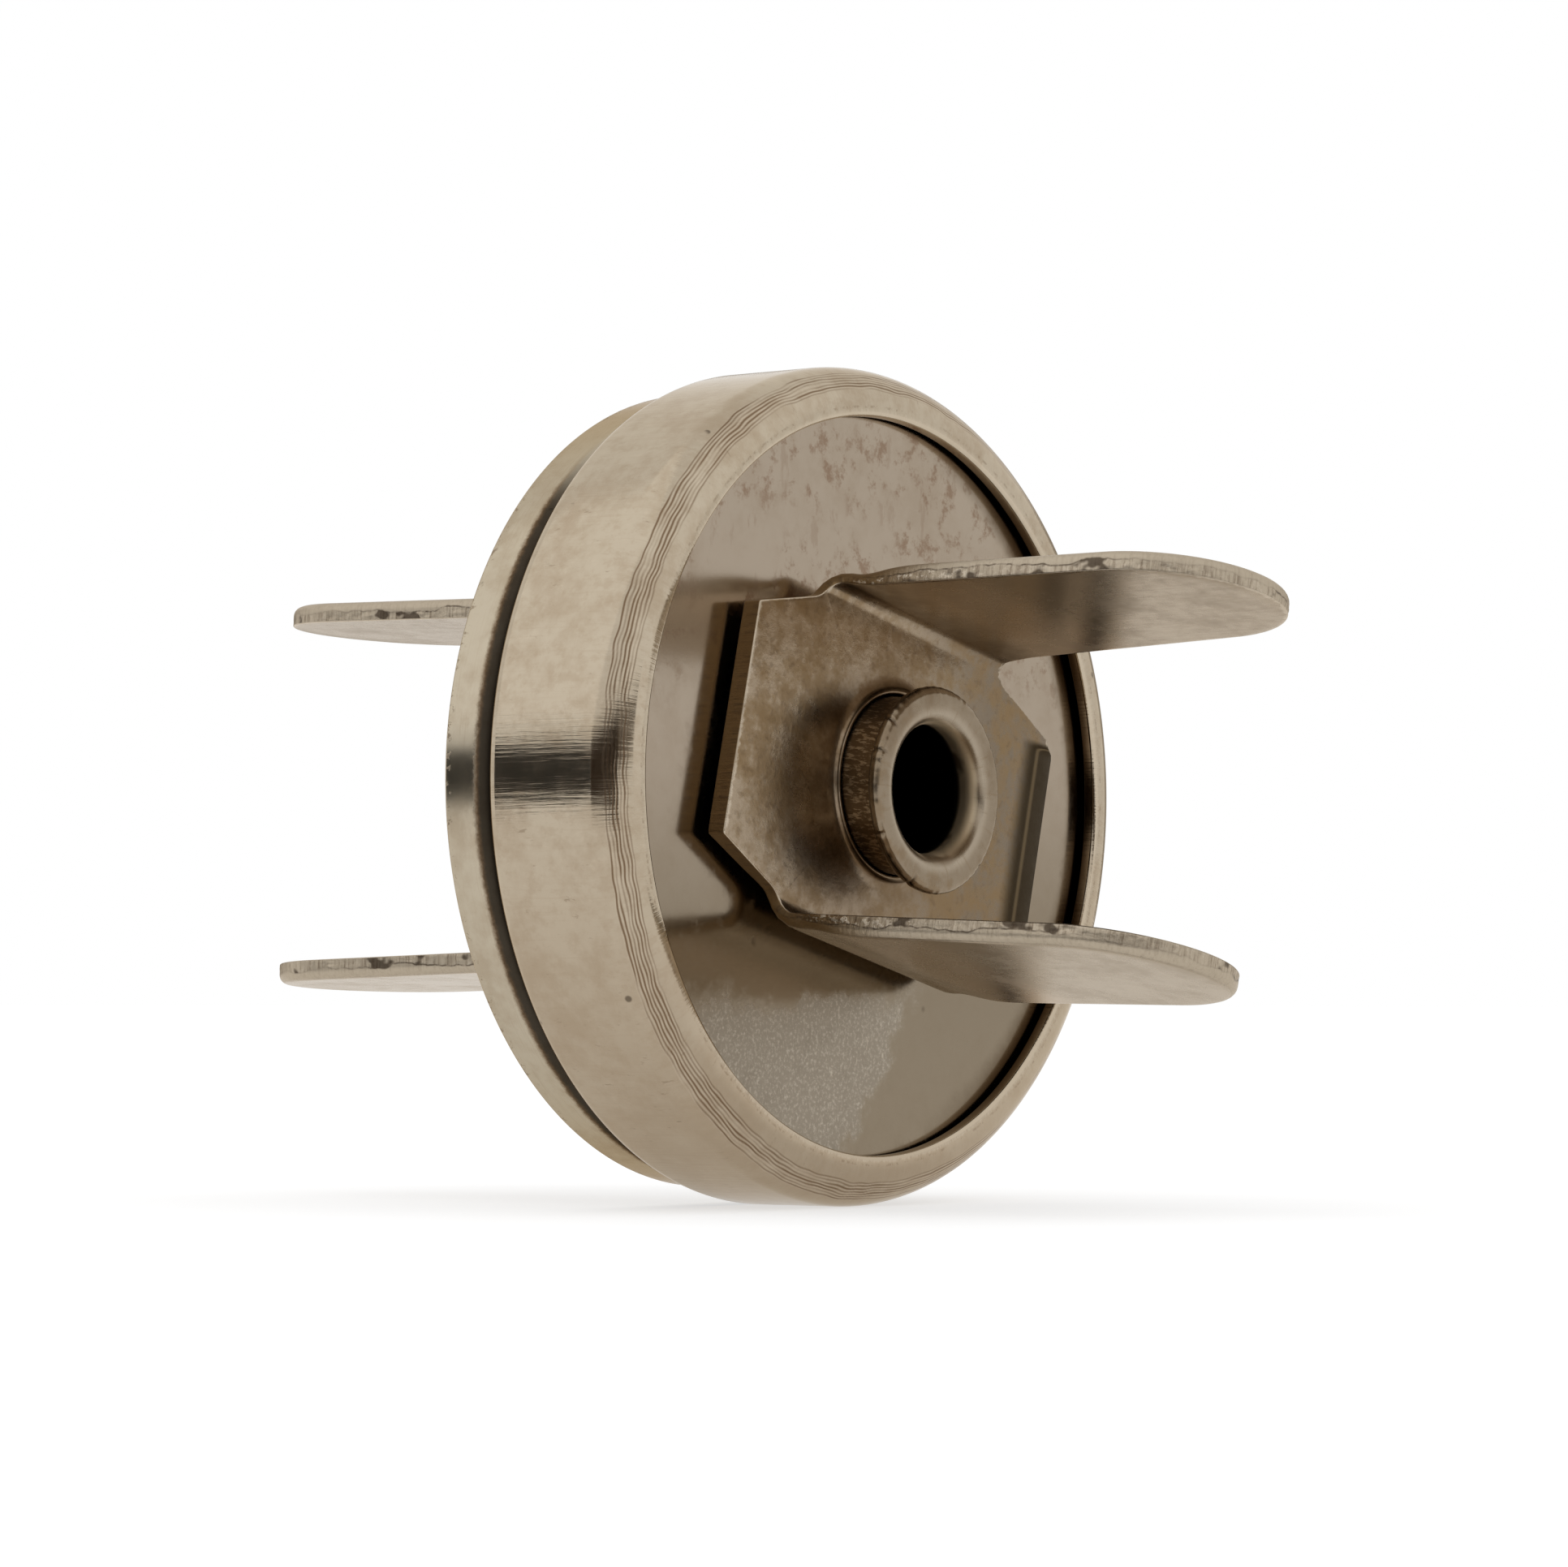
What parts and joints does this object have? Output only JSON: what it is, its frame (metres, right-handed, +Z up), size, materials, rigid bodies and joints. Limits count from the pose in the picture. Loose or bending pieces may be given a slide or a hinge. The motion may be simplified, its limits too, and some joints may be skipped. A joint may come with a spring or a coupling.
{
  "type": "magnetic snap",
  "caption": "Closed round magnetic snap: a folded shell with ring magnet and a steel disc with stud, each with a tubular rivet end and bendable prongs.",
  "frame": {"origin": "on the snap's axis, in the front face of the magnet half's prong plate, where the panel lies", "axes": "+X along the snap's axis, from the stud half towards the magnet half's prongs; +Z up, from one prong towards the other as pictured; +Y away from the camera"},
  "size_m": [0.0256, 0.018, 0.018],
  "materials": {
    "shell": "satin nickel plate, warm tint",
    "disc": "satin nickel plate, warm tint",
    "back_plate": "bright nickel plate, specked",
    "prong_plate": "mottled nickel plate with bright edges",
    "rivet": "grainy nickel plate",
    "magnet": "sintered ferrite, dull dark grey"
  },
  "bodies": {
    "magnet_half": {"female_shell": "shell", "magnet_ring": "magnet", "female_back_plate": "back_plate", "female_rivet": "rivet", "female_prong_plate": "prong_plate"},
    "stud": {"male_stud": "rivet"},
    "stud_half": {"male_disc": "disc", "male_prong_plate": "prong_plate"}
  },
  "joints": [
    {"name": "pull_off", "type": "slide", "parent": "magnet_half", "child": "stud", "axis": [-1, 0, 0], "range_m": [0, 0.012]},
    {"name": "swivel", "type": "hinge", "parent": "stud", "child": "stud_half", "pos_m": [-0.0045, 0, 0], "axis": [1, 0, 0], "continuous": true}
  ]
}
